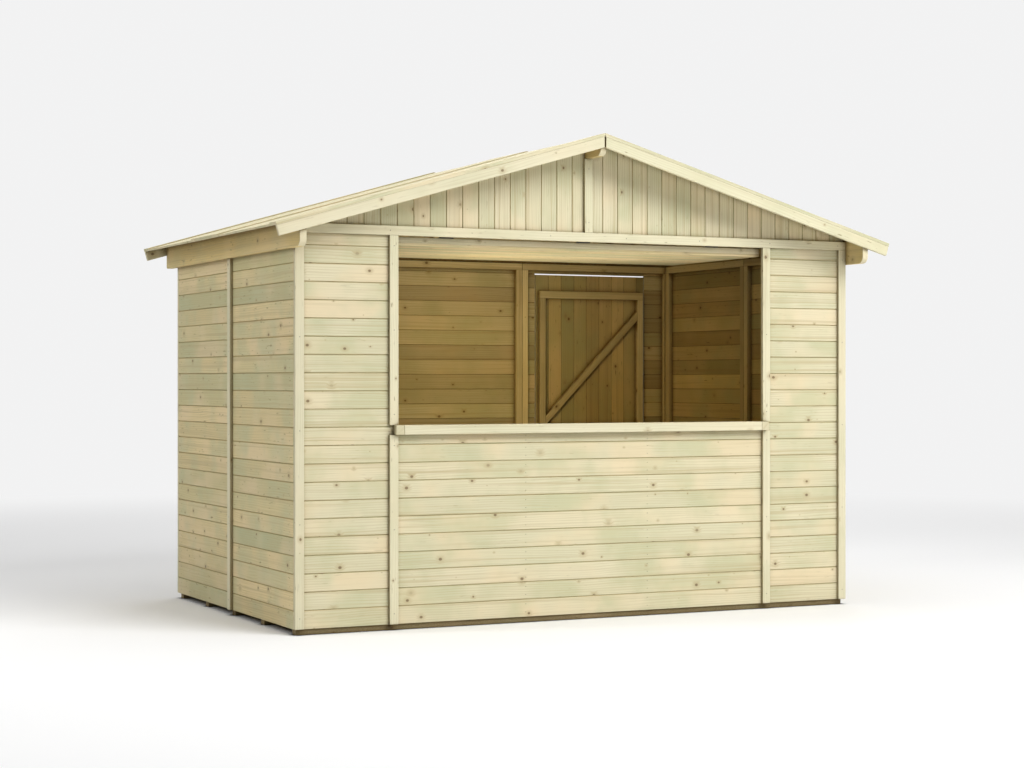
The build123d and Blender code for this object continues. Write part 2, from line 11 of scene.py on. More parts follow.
import bmesh
import bpy
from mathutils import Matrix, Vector


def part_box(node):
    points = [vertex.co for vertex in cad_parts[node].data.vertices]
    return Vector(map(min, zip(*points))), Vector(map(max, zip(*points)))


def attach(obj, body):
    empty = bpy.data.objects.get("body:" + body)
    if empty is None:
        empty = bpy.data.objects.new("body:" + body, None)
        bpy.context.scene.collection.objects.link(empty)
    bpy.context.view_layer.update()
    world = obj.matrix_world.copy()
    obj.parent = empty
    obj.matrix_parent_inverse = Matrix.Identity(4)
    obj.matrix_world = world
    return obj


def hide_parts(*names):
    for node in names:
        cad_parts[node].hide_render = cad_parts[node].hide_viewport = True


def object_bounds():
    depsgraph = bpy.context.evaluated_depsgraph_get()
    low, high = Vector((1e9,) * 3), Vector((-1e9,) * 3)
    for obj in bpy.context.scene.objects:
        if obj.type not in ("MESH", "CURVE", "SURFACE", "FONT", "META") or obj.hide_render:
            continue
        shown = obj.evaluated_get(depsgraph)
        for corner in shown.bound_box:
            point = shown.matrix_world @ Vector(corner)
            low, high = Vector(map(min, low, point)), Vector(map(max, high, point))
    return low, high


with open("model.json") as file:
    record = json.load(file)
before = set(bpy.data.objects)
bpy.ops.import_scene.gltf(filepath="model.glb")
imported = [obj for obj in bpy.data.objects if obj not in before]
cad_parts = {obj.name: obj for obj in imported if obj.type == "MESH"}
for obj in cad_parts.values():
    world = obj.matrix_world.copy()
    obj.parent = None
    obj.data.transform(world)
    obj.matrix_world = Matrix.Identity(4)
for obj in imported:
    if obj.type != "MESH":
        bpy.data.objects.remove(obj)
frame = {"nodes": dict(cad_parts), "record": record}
cad_low, cad_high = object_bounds()

STALL = "stall"
DOOR = "door"
X, Y, Z = Vector((1, 0, 0)), Vector((0, 1, 0)), Vector((0, 0, 1))
NODE_SLOTS = {entry["node"]: entry["material_slot"] for entry in frame["record"]["subparts"]}
SEED = 29
chance = random.Random(SEED)

# Boards: what each one covers, and its V joint, tongue and groove
BOARD_COVER = 0.0842
ROOF_BOARD_COVER = 0.0880
FLOOR_BOARD_COVER = 0.0950
LEAST_BOARD = 0.012
BOARD_GAP = 0.0008
V_BEVEL = 0.0028
FLAT_BEVEL = 0.0006
BACK_BEVEL = 0.0016
TONGUE_REACH = 0.0050
TONGUE_SHARE = 0.30
TONGUE_SLACK = 0.0003

# Timbers and hinges: their eased edges, and the joints in the counter's ledge
EDGE_EASE = 0.0018
METAL_EASE = 0.0005
EASE_SEGMENTS = 2
EASE_PROFILE = 0.5
LEDGE_BLOCK_WIDTH = 0.042
LEDGE_JOINT = 0.0006

# Nails and screws; each ring of a head is a share of its radius and of its rise
HEAD_SIDES = 10
HEAD_RINGS = ((1.0, 0.0), (0.7, 0.75))
NAIL_RADIUS = 0.0018
NAIL_RISE = 0.0005
NAIL_SHARES = (0.27, 0.73)
STRIP_NAIL_RADIUS = 0.0021
STRIP_NAIL_PITCH = 0.42
STRIP_NAIL_INSET = 0.05
SCREW_RADIUS = 0.0042
SCREW_RISE = 0.0011
STRAP_SCREW_SHARES = (0.16, 0.42, 0.68, 0.93)
PLATE_SCREW_SHARES = (0.09, 0.5, 0.91)
PLATE_SCREW_INSET = 0.014

# Reading the CAD meshes, and telling a face by how squarely it looks along a direction
WELD = 0.00001
SHARP_ANGLE = math.radians(25)
FLAT_ANGLE = math.radians(0.5)
CENTRE_DIGITS = 4
STEP_DIGITS = 5
END_FACING = 0.2
BACK_FACING = -0.5
JOINT_FACING_LOW, JOINT_FACING_HIGH = 0.2, 0.95
GRAIN_SPREAD = 40.0

# Wood colours; a tone from 0 to 1 picks a timber's own from a row of stops
BOARD_TONES = (
    (0.00, (0.60, 0.57, 0.38)), (0.17, (0.68, 0.63, 0.44)),
    (0.33, (0.70, 0.63, 0.43)), (0.50, (0.63, 0.60, 0.41)),
    (0.55, (0.52, 0.48, 0.25)), (0.68, (0.75, 0.61, 0.33)),
    (0.84, (0.64, 0.53, 0.28)), (1.00, (0.49, 0.47, 0.26)),
)
# Painted shade: the warm half of the row is darker and browner, and goes to the boards that stand out of the
# main light (side walls, hatch, door); the cool half goes to the rest
COOL_TONES, SHADE_WARM_TONES = (0.0, 0.5), (0.55, 1.0)
TRIM_TONES = ((0.00, (0.65, 0.61, 0.43)), (0.50, (0.71, 0.66, 0.47)), (1.00, (0.67, 0.64, 0.44)))
FRAME_TONES = ((0.00, (0.76, 0.69, 0.46)), (0.50, (0.86, 0.78, 0.53)), (1.00, (0.80, 0.73, 0.50)))
PURLIN_TONES = ((0.00, (0.62, 0.47, 0.19)), (1.00, (0.68, 0.53, 0.23)))
FLOOR_TONES = ((0.00, (0.40, 0.33, 0.18)), (0.50, (0.47, 0.39, 0.23)), (1.00, (0.43, 0.36, 0.20)))
# Painted room shade, with board-to-board variety: faces towards the room are multiplied by one of these
# tints
ROOM_SHADE_TINTS = ((0.00, (0.60, 0.52, 0.36)), (0.55, (0.84, 0.76, 0.56)), (1.00, (1.00, 0.91, 0.67)))
STREAK = (0.46, 0.37, 0.20)
MOSS = (0.47, 0.49, 0.29)
TAN = (0.74, 0.59, 0.37)
PALE_END = (0.70, 0.64, 0.45)
KNOT = (0.15, 0.088, 0.036)
FLECK = (0.25, 0.19, 0.085)
JOINT_TINT = (0.92, 0.89, 0.80)
# painted shade: the tint that darkens nooks where timbers meet
NOOK_SHADE_TINT = (0.28, 0.21, 0.10)

# Noise in the wood: waves to the metre along and across the grain, detail, roughness
SWERVE_NOISE = (1.7, 7.0, 2.0, 0.55)
FINE_NOISE = (3.0, 230.0, 4.0, 0.60)
BAND_NOISE = (0.55, 62.0, 3.0, 0.50)
CLOUD_NOISE = (3.2, 3.0, 3.0, 0.50)
WARMTH_NOISE = (2.4, 2.5, 2.0, 0.55)
FLECK_NOISE = (16.0, 85.0, 2.0, 0.55)
TONE_DEPTH = 31.0
WARMTH_SHIFT = 50.0
FLECK_SHIFT = 9.0
ROOM_SPREAD = 97.0

# Knots and growth rings, and how far they push the grain aside
KNOT_STRETCH = 0.8
KNOT_SCALE = 6.4
LEAST_KNOT = 0.001
RING_STRETCH = 0.16
RING_SCALE = 26.0
RING_DISTORTION = 11.0
RING_DETAIL = 2.0
RING_DETAIL_SCALE = 0.30
SWERVE_REACH = 0.020
HALO_REACH = 0.012

# Ranges: where a pattern starts and is full, then what it gives there if not 0 and 1
KNOT_SIZES = (0.1, 1.0, 0.15, 1.0)
KNOT_DEPTHS = (0.10, 0.45, 0.2, 1.0)
CORE_RANGE = (0.060, 0.030)
HALO_RANGE = (0.19, 0.04)
TAN_RANGE = (0.44, 0.66)
MOSS_RANGE = (0.42, 0.68)
BAND_RANGE = (0.50, 0.74)
FINE_RANGE = (0.50, 0.78)
RING_RANGE = (0.55, 1.0)
RING_PLACES = (0.58, 0.44)
FLECK_RANGE = (0.66, 0.76)
FLECK_SHARES = (0.50, 0.56, 0.20, 0.75)
# the nook range turns openness into painted shade
NOOK_SHADE_RANGE = (0.92, 0.40)
GRIT_RANGE = (0.45, 0.75)
# the range over which the floor's painted contact shadow sets in
CONTACT_SHADOW_RANGE = (0.85, 0.35)

# Shares of the layers of colour and of the relief
FINE_SHARE = 0.7
RING_SHARE = 0.6
HALO_SHARE = 0.50
CORE_SHARE = 0.78
FINE_HEIGHT = 0.5
BAND_HEIGHT = 0.6
CORE_HEIGHT = 0.4

# Sheen and relief of wood and steel; a relief is a strength and a distance
WOOD_SPECULAR = 0.30
WOOD_SHEEN_RANGE = (0.3, 0.8)
WOOD_SMOOTHER = 0.06
WOOD_RELIEF = (0.22, 0.0012)
METALLIC = 0.35
METAL_SHEEN_RANGE = (0.3, 0.7)
METAL_SMOOTHER = 0.08
METAL_RELIEF = (0.12, 0.0003)
ROUGHER = 0.10
GRIT_SCALE = 900.0
GRIT_DETAIL = 3.0
BLACK_PAINT, BLACK_WEAR = (0.016, 0.016, 0.017), (0.030, 0.030, 0.031)
NAIL_COAT, NAIL_WEAR = (0.105, 0.095, 0.080), (0.060, 0.050, 0.040)
# how far the painted shade in nooks reaches
NOOK_SHADE_REACH = 0.050
OCCLUSION_SAMPLES = 6

# Studio
WHITE = (1.0, 1.0, 1.0)
BACKDROP = (0.890, 0.890, 0.892)
SKY_LEVEL = 0.06
FLOOR_COLOUR = (0.90, 0.90, 0.90)
FLOOR_ROUGHNESS = 0.9
FLOOR_RADIUS = 60.0
FLOOR_SIDES = 96
# Painted contact shadow on the floor where the stall stands
CONTACT_SHADOW_COLOUR = (0.030, 0.030, 0.034)
CONTACT_SHADOW_REACH = 0.045
FADE_RANGE = (2.0, 11.0)

# Lamps: name, place, target, width and height, watts, spread in degrees, colour
LAMPS = (
    ("key", (4.2, -9.8, 8.6), (0.0, -0.6, 1.1), (8.0, 6.5), 1490, 180, WHITE),
    ("front_fill", (0.9, -5.4, 0.25), (0.2, 0.2, 1.7), (3.4, 1.2), 22, 180, WHITE),
    ("top", (0.0, 0.5, 8.5), (0.0, 0.0, 0.0), (9.0, 9.0), 470, 180, WHITE),
    ("left_fill", (-7.6, 0.45, 5.0), (-1.5, 0.0, 1.1), (0.9, 4.0), 185, 180, WHITE),
    ("back_fill", (5.5, 8.0, 4.5), (0.0, 0.9, 1.2), (4.0, 4.0), 170, 180, WHITE),
    ("bay_light", (-0.65, -0.70, 1.60), (0.50, 0.90, 1.20), (0.5, 0.2), 3.2, 80, (1.0, 0.80, 0.45)),
    ("room_bounce", (0.0, -0.42, 0.2), (0.0, -0.42, 1.8), (1.7, 0.5), 4.3, 60, (1.0, 0.97, 0.90)),
)

# Camera fitted to the photo's edges: pixels of a 1024 by 768 image
IMAGE_WIDTH = 1024
IMAGE_HEIGHT = 768
FOCAL_PX = 2027.6
HORIZON_PX = 380.9
SENSOR_WIDTH = 36.0
CAMERA_PLACE = (-4.709, -9.672, 1.169)
CAMERA_TURN = math.radians(-26.05)


# Materials

class Shader:
    """The nodes of a material or of the world, with short calls for adding more."""

    def __init__(self, owner, start="Principled BSDF"):
        owner.use_nodes = True
        self.tree = owner.node_tree
        self.surface = self.tree.nodes[start]

    def put(self, socket, value):
        """Gives a socket what another one puts out, a colour or a number."""
        if isinstance(value, bpy.types.NodeSocket):
            self.tree.links.new(value, socket)
        elif isinstance(value, tuple):
            socket.default_value = (*value, 1.0)
        else:
            socket.default_value = value

    def fill(self, node, **inputs):
        """Sets a node's inputs, each by its name with _ for a space."""
        for key, value in inputs.items():
            self.put(node.inputs[key.replace("_", " ")], value)

    def add(self, kind, settings=None, **inputs):
        node = self.tree.nodes.new(kind)
        for key, value in (settings or {}).items():
            setattr(node, key, value)
        self.fill(node, **inputs)
        return node

    def mark(self, name):
        """What the mesh stores under a name for each face."""
        return self.add("ShaderNodeAttribute", {"attribute_name": name}).outputs["Fac"]

    def math(self, operation, a, b=0.0):
        node = self.add("ShaderNodeMath", {"operation": operation})
        self.put(node.inputs[0], a)
        self.put(node.inputs[1], b)
        return node.outputs[0]

    def remap(self, value, from_low, from_high, to_low=0.0, to_high=1.0):
        """Carries one range smoothly over to another and stops at its ends."""
        node = self.add("ShaderNodeMapRange", {"interpolation_type": "SMOOTHSTEP"},
                        Value=value, From_Min=from_low, From_Max=from_high, To_Min=to_low, To_Max=to_high)
        return node.outputs["Result"]

    def mix(self, factor, a, b, blend="MIX"):
        node = self.add("ShaderNodeMix", {"data_type": "RGBA", "blend_type": blend}, Factor=factor, A=a, B=b)
        return node.outputs["Result"]

    def layer(self, under, over, cover, share, blend="MIX"):
        """Lays a colour over another where a pattern covers it, up to a share."""
        return self.mix(self.math("MULTIPLY", cover, share), under, over, blend)

    def ramp(self, value, stops):
        node = self.add("ShaderNodeValToRGB", Fac=value)
        points = node.color_ramp.elements
        while len(points) < len(stops):
            points.new(1.0)
        for point, (place, colour) in zip(points, stops):
            point.position = place
            point.color = (*colour, 1.0)
        return node.outputs["Color"]

    def point(self, x, y, z):
        return self.add("ShaderNodeCombineXYZ", X=x, Y=y, Z=z).outputs[0]

    def noise(self, u, v, depth, pattern):
        """Noise stretched along the grain, by a row of waves, detail and roughness."""
        along, across, detail, roughness = pattern
        place = self.point(self.math("MULTIPLY", u, along), self.math("MULTIPLY", v, across), depth)
        node = self.add("ShaderNodeTexNoise", Vector=place, Scale=1.0, Detail=detail, Roughness=roughness)
        return node.outputs["Fac"]

    def openness(self, reach):
        """1 in the open, down to 0 where all is shut in within a reach. The painted shade in nooks and the
        floor's painted contact shadow are drawn from it.
        """
        node = self.add("ShaderNodeAmbientOcclusion", {"samples": OCCLUSION_SAMPLES}, Distance=reach)
        return node.outputs["AO"]

    def relief(self, height, strength, distance):
        node = self.add("ShaderNodeBump", Strength=strength, Distance=distance, Height=height)
        return node.outputs["Normal"]

    def choose(self, factor, first, second):
        """Goes from one surface node to another."""
        node = self.add("ShaderNodeMixShader", Fac=factor)
        self.put(node.inputs[1], first.outputs[0])
        self.put(node.inputs[2], second.outputs[0])
        return node.outputs[0]


def wood(name, tones, moss_share=0.60, streak_share=0.55, tan_share=0.55, rough=0.62,
         end_colour=STREAK, end_share=0.25, nook_shade_share=0.58):
    """Planed softwood. The grain runs along the first coordinate of each timber's
    own "grain" map, and "tone" gives each timber its own tone among the board colours.
    Shade is painted in too: faces towards the room and nooks where timbers meet are darkened."""
    material = bpy.data.materials.new(name)
    s = Shader(material)
    place = s.add("ShaderNodeUVMap", {"uv_map": "grain"}).outputs["UV"]
    split = s.add("ShaderNodeSeparateXYZ", Vector=place).outputs
    u, v = split["X"], split["Y"]
    tone, end, room_shade, joint = s.mark("tone"), s.mark("end"), s.mark("room_shade"), s.mark("joint")

    knot_place = s.point(s.math("MULTIPLY", u, KNOT_STRETCH), v, 0.0)
    knots = s.add("ShaderNodeTexVoronoi", {"voronoi_dimensions": "2D", "feature": "F1"},
                  Vector=knot_place, Scale=KNOT_SCALE).outputs
    pick = s.add("ShaderNodeSeparateColor", Color=knots["Color"]).outputs
    size = s.math("ADD", s.remap(pick["Red"], *KNOT_SIZES), LEAST_KNOT)
    reach = s.math("DIVIDE", knots["Distance"], size)
    core = s.math("MULTIPLY", s.remap(reach, *CORE_RANGE), s.remap(pick["Green"], *KNOT_DEPTHS))
    halo = s.remap(reach, *HALO_RANGE)

    swerve = s.math("MULTIPLY", s.noise(u, v, tone, SWERVE_NOISE), SWERVE_REACH)
    lift = s.math("ADD", swerve, s.math("MULTIPLY", halo, HALO_REACH))
    across = s.math("ADD", v, lift)
    depth = s.math("MULTIPLY", tone, TONE_DEPTH)
    fine = s.noise(u, across, depth, FINE_NOISE)
    bands = s.noise(u, across, depth, BAND_NOISE)
    cloud = s.noise(u, v, depth, CLOUD_NOISE)
    warmth = s.noise(u, v, s.math("ADD", depth, WARMTH_SHIFT), WARMTH_NOISE)
    flecks = s.noise(u, v, s.math("ADD", depth, FLECK_SHIFT), FLECK_NOISE)
    ring_place = s.point(s.math("MULTIPLY", u, RING_STRETCH), across, depth)
    rings = s.add("ShaderNodeTexWave", {"bands_direction": "Y"}, Vector=ring_place, Scale=RING_SCALE,
                  Distortion=RING_DISTORTION, Detail=RING_DETAIL, Detail_Scale=RING_DETAIL_SCALE)
    figure = s.math("MULTIPLY", s.remap(rings.outputs["Fac"], *RING_RANGE), s.remap(warmth, *RING_PLACES))

    colour = s.ramp(tone, tones)
    colour = s.layer(colour, TAN, s.remap(warmth, *TAN_RANGE), tan_share)
    colour = s.layer(colour, MOSS, s.remap(cloud, *MOSS_RANGE), moss_share)
    colour = s.layer(colour, STREAK, s.remap(bands, *BAND_RANGE), streak_share)
    colour = s.layer(colour, STREAK, s.remap(fine, *FINE_RANGE), streak_share * FINE_SHARE)
    colour = s.layer(colour, STREAK, figure, streak_share * RING_SHARE)
    colour = s.layer(colour, FLECK, s.remap(flecks, *FLECK_RANGE), s.remap(tone, *FLECK_SHARES))
    colour = s.layer(colour, STREAK, halo, HALO_SHARE)
    colour = s.layer(colour, KNOT, core, CORE_SHARE)
    colour = s.layer(colour, end_colour, end, end_share)

    # Painted shade: faces towards the room are multiplied by a darker tint that also
    # varies board to board, the joints take a darker tint of their own, and nooks
    # where timbers meet are darkened as shade would darken them
    lively = s.math("FRACT", s.math("MULTIPLY", tone, ROOM_SPREAD))
    colour = s.mix(room_shade, colour, s.ramp(lively, ROOM_SHADE_TINTS), "MULTIPLY")
    colour = s.mix(joint, colour, JOINT_TINT, "MULTIPLY")
    # painted shade in nooks where timbers meet
    nook_shade = s.remap(s.openness(NOOK_SHADE_REACH), *NOOK_SHADE_RANGE)
    colour = s.layer(colour, NOOK_SHADE_TINT, nook_shade, s.remap(room_shade, 0.0, 1.0, nook_shade_share, 1.0), "MULTIPLY")

    height = s.math("ADD", s.math("MULTIPLY", fine, FINE_HEIGHT), s.math("MULTIPLY", bands, BAND_HEIGHT))
    height = s.math("SUBTRACT", height, s.math("MULTIPLY", core, CORE_HEIGHT))
    sheen = s.remap(fine, *WOOD_SHEEN_RANGE, rough - WOOD_SMOOTHER, rough + ROUGHER)
    s.fill(s.surface, Base_Color=colour, Roughness=sheen, Specular_IOR_Level=WOOD_SPECULAR,
           Normal=s.relief(height, *WOOD_RELIEF))
    return material


def metal(name, coat, wear, rough):
    """Painted or plated steel with a slightly uneven coat."""
    material = bpy.data.materials.new(name)
    s = Shader(material)
    place = s.add("ShaderNodeTexCoord").outputs["Object"]
    grit = s.add("ShaderNodeTexNoise", Vector=place, Scale=GRIT_SCALE, Detail=GRIT_DETAIL).outputs["Fac"]
    colour = s.mix(s.remap(grit, *GRIT_RANGE), coat, wear)
    sheen = s.remap(grit, *METAL_SHEEN_RANGE, rough - METAL_SMOOTHER, rough + ROUGHER)
    s.fill(s.surface, Base_Color=colour, Roughness=sheen, Metallic=METALLIC,
           Normal=s.relief(grit, *METAL_RELIEF))
    return material


# nook_shade_share: how much painted nook shade each wood takes out in the open; in the room it takes all of
# it
MATERIALS = {
    "wall_boards": wood("treated_boards", BOARD_TONES),
    "planed_trim": wood("treated_trim", TRIM_TONES, moss_share=0.25, streak_share=0.35, tan_share=0.20,
                        nook_shade_share=0.90),
    "frame_timber": wood("treated_frame", FRAME_TONES, moss_share=0.30, streak_share=0.50, tan_share=0.40),
    "purlin_timber": wood("treated_purlin", PURLIN_TONES, moss_share=0.25, streak_share=0.60, tan_share=0.30,
                          end_colour=PALE_END, end_share=0.85, nook_shade_share=1.0),
    "roof_boards": wood("treated_roof", BOARD_TONES, moss_share=0.55, streak_share=0.60, rough=0.66),
    "floor_timber": wood("sawn_floor", FLOOR_TONES, moss_share=0.50, streak_share=0.65, rough=0.72,
                         nook_shade_share=1.0),
    "black_hinge_steel": metal("black_steel", BLACK_PAINT, BLACK_WEAR, rough=0.42),
    "nail_steel": metal("dull_nails", NAIL_COAT, NAIL_WEAR, rough=0.60),
}


# Mesh building

def add_object(name, mesh, material):
    """Puts a finished mesh into the scene as an object of one material."""
    data = bpy.data.meshes.new(name)
    mesh.to_mesh(data)
    mesh.free()
    data.materials.append(material)
    piece = bpy.data.objects.new(name, data)
    bpy.context.scene.collection.objects.link(piece)
    return piece


class Timbers:
    """A mesh under construction: every board or timber in it has its own run of
    grain and its own tone."""

    def __init__(self, name):
        self.name = name
        self.mesh = bmesh.new()
        self.grain = self.mesh.loops.layers.uv.new("grain")
        self.tone = self.mesh.faces.layers.float.new("tone")
        self.end = self.mesh.faces.layers.float.new("end")
        self.room_shade = self.mesh.faces.layers.float.new("room_shade")
        self.joint = self.mesh.faces.layers.float.new("joint")

    def paint(self, faces, along, tone, out=None, in_room=False):
        """Lays the grain of one timber along its length on all its faces, and marks
        what is in the room, which takes painted shade. On a board, whose face looks
        out, that is its back, and the bevels of its joints are marked too."""
        shift_u = chance.uniform(0, GRAIN_SPREAD)
        shift_v = chance.uniform(0, GRAIN_SPREAD)
        for face in faces:
            face[self.tone] = tone
            face[self.room_shade] = 1.0 if in_room else 0.0
            if out:
                facing = face.normal.dot(out)
                face[self.room_shade] = 1.0 if facing < BACK_FACING else 0.0
                face[self.joint] = 1.0 if JOINT_FACING_LOW < abs(facing) < JOINT_FACING_HIGH else 0.0
            ends = abs(face.normal.dot(along)) > END_FACING
            face[self.end] = 1.0 if ends else 0.0
            first = face.normal.orthogonal().normalized() if ends else along
            second = face.normal.cross(first)
            for loop in face.loops:
                place = loop.vert.co
                loop[self.grain].uv = (place.dot(first) + shift_u, place.dot(second) + shift_v)

    def prism(self, origin, along, across, out, section, length_at):
        """A section in the across and out directions, run along its length up to an
        end that may be cut on a slant."""
        rings = []
        for lengths in ([0.0] * len(section), [length_at(a) for a, o in section]):
            places = [origin + along * length + across * a + out * o
                      for length, (a, o) in zip(lengths, section)]
            rings.append([self.mesh.verts.new(place) for place in places])
        faces = [self.mesh.faces.new(rings[0][::-1]), self.mesh.faces.new(rings[1])]
        for i in range(len(section)):
            j = (i + 1) % len(section)
            faces.append(self.mesh.faces.new((rings[0][i], rings[0][j], rings[1][j], rings[1][i])))
        if along.cross(across).dot(out) < 0:
            bmesh.ops.reverse_faces(self.mesh, faces=faces)
        for face in faces:
            face.normal_update()
        return faces

    def take(self, part, along, ease, in_room=False):
        """Adds a solid as one timber, with its sharp edges eased."""
        sharp = [e for e in part.edges if len(e.link_faces) == 2 and e.calc_face_angle() > SHARP_ANGLE]
        bmesh.ops.bevel(part, geom=sharp, offset=ease, offset_type="OFFSET", segments=EASE_SEGMENTS,
                        profile=EASE_PROFILE, affect="EDGES", clamp_overlap=True)
        made = {vert: self.mesh.verts.new(vert.co) for vert in part.verts}
        faces = [self.mesh.faces.new([made[vert] for vert in face.verts]) for face in part.faces]
        for face in faces:
            face.normal_update()
        self.paint(faces, along, chance.random(), in_room=in_room)
        part.free()

    def beam(self, low, high, along):
        """Adds a squared timber between two corners."""
        part = bmesh.new()
        bmesh.ops.create_cube(part, size=1.0)
        for vert in part.verts:
            vert.co = Vector([low[i] if vert.co[i] < 0 else high[i] for i in range(3)])
        self.take(part, along, EDGE_EASE)

    def finish(self, node, body=STALL):
        """Turns the mesh into a piece that rides on a body and stands for a CAD node."""
        slot = NODE_SLOTS[node]
        piece = add_object(self.name, self.mesh, MATERIALS[slot])
        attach(piece, body)
        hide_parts(node)


def mean_place(part):
    """The mean of a solid's vertices, rounded so that solids sort by it."""
    return tuple(round(sum(vert.co[i] for vert in part.verts) / len(part.verts), CENTRE_DIGITS)
                 for i in range(3))


def solids_of(node):
    """The separate solids of a CAD node, each as a clean mesh of flat faces."""
    whole = bmesh.new()
    whole.from_mesh(frame["nodes"][node].data)
    bmesh.ops.remove_doubles(whole, verts=whole.verts, dist=WELD)
    seen = set()
    found = []
    for seed in whole.verts:
        if seed in seen:
            continue
        seen.add(seed)
        group = [seed]
        for vert in group:
            for edge in vert.link_edges:
                other = edge.other_vert(vert)
                if other not in seen:
                    seen.add(other)
                    group.append(other)
        part = bmesh.new()
        made = {vert: part.verts.new(vert.co) for vert in group}
        for face in whole.faces:
            if face.verts[0] in made:
                part.faces.new([made[vert] for vert in face.verts])
        bmesh.ops.recalc_face_normals(part, faces=part.faces)
        bmesh.ops.dissolve_limit(part, angle_limit=FLAT_ANGLE, verts=part.verts, edges=part.edges)
        found.append(part)
    whole.free()
    return sorted(found, key=mean_place)


def solid_boxes(node):
    """Lowest and highest corner of each solid of a CAD node."""
    boxes = []
    for part in solids_of(node):
        low = Vector([min(vert.co[i] for vert in part.verts) for i in range(3)])
        high = Vector([max(vert.co[i] for vert in part.verts) for i in range(3)])
        boxes.append((low, high))
        part.free()
    return boxes


def vertex_places(node):
    """Where the vertices of a CAD node are."""
    return [vert.co for vert in frame["nodes"][node].data.vertices]


def longest_run(part):
    """The direction of a solid's longest straight edge, which is its grain."""
    edge = max(part.edges, key=lambda e: e.calc_length())
    return (edge.verts[1].co - edge.verts[0].co).normalized()


def dress(node, body=STALL, ease=EDGE_EASE, in_room=False):
    """Copies a CAD node's timbers with eased edges and grain along each one."""
    timbers = Timbers(node + "_timber")
    for part in solids_of(node):
        timbers.take(part, longest_run(part), ease, in_room)
    timbers.finish(node, body)


def board_section(width, thick, bevel, tongue=True, groove=True):
    """Outline of one board across its width and thickness. A jointed edge has the
    bevels of the V joint and a tongue or a groove, and a panel's end edge is square."""
    low, high = thick * (0.5 - TONGUE_SHARE / 2), thick * (0.5 + TONGUE_SHARE / 2)
    left, right = BOARD_GAP / 2, width - BOARD_GAP / 2
    points = [(left + BACK_BEVEL, 0.0)] if groove else [(0.0, 0.0)]
    if tongue:
        tip = right + TONGUE_REACH
        points += [(right - BACK_BEVEL, 0.0), (right, BACK_BEVEL), (right, low), (tip, low),
                   (tip, high), (right, high), (right, thick - bevel), (right - bevel, thick)]
    else:
        points += [(width, 0.0), (width, thick)]
    if groove:
        depth = left + TONGUE_REACH + TONGUE_SLACK
        points += [(left + bevel, thick), (left, thick - bevel), (left, high + TONGUE_SLACK),
                   (depth, high + TONGUE_SLACK), (depth, low - TONGUE_SLACK), (left, low - TONGUE_SLACK),
                   (left, BACK_BEVEL)]
    else:
        points += [(0.0, thick)]
    return points


def rows(extent, cover):
    """Places and widths of the boards that fill an extent, the last one ripped."""
    count = max(1, int((extent - LEAST_BOARD) / cover) + 1)
    return [(i * cover, min(cover, extent - i * cover)) for i in range(count)]


def clad(timbers, corner, along, across, out, length_at, extent, thick, cover=BOARD_COVER, bevel=V_BEVEL,
         tones=COOL_TONES, notch=None):
    """Fills a rectangle, or one with slanted ends, with tongue-and-groove boards.
    A notch leaves the first edge of the first board only as high as it says."""
    places = rows(extent, cover)
    for i, (place, width) in enumerate(places):
        last = i == len(places) - 1
        section = board_section(width, thick, bevel, tongue=not last, groove=i > 0)
        origin = corner + across * place
        faces = []
        if notch and i == 0:
            notch_width, notch_height = notch
            section = [(max(a, notch_width), o) for a, o in section]
            stub = [(0.0, 0.0), (notch_width, 0.0), (notch_width, thick), (0.0, thick)]
            faces = timbers.prism(origin, along, across, out, stub, lambda a: notch_height)
        faces += timbers.prism(origin, along, across, out, section, lambda a, p=place: length_at(a + p))
        timbers.paint(faces, along, chance.uniform(*tones), out)


def clad_node(node, along, across, out, body=STALL, cover=BOARD_COVER, bevel=V_BEVEL, tones=COOL_TONES):
    """Clads each box of a CAD node, with the boards' faces looking along out."""
    timbers = Timbers(node + "_cladding")
    way = along + across + out
    for low, high in solid_boxes(node):
        size = high - low
        corner = Vector([low[i] if way[i] > 0 else high[i] for i in range(3)])
        length = abs(size.dot(along))
        clad(timbers, corner, along, across, out, lambda a, end=length: end, abs(size.dot(across)),
             abs(size.dot(out)), cover, bevel, tones)
    timbers.finish(node, body)


def clad_gable(node, out):
    """Upright boards, cut to the roof line and notched round the ridge purlin."""
    low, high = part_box(node)
    places = vertex_places(node)
    inner = min(abs(place.x) for place in places)
    crown = min(abs(place.x) for place in places if high.z - place.z < WELD)
    heel = min(place.z for place in places if high.x - abs(place.x) < WELD and place.z - low.z > WELD)
    notch_top = max(place.z for place in places if abs(place.x) - inner < WELD)
    fall = (high.z - heel) / (high.x - crown)
    timbers = Timbers(node + "_cladding")
    for side in (-1, 1):
        corner = Vector((inner * side, high.y if out.y < 0 else low.y, low.z))
        clad(timbers, corner, Z, X * side, out, lambda a: heel - low.z + fall * (high.x - inner - a),
             high.x - inner, high.y - low.y, notch=(crown - inner, notch_top - low.z))
    timbers.finish(node)


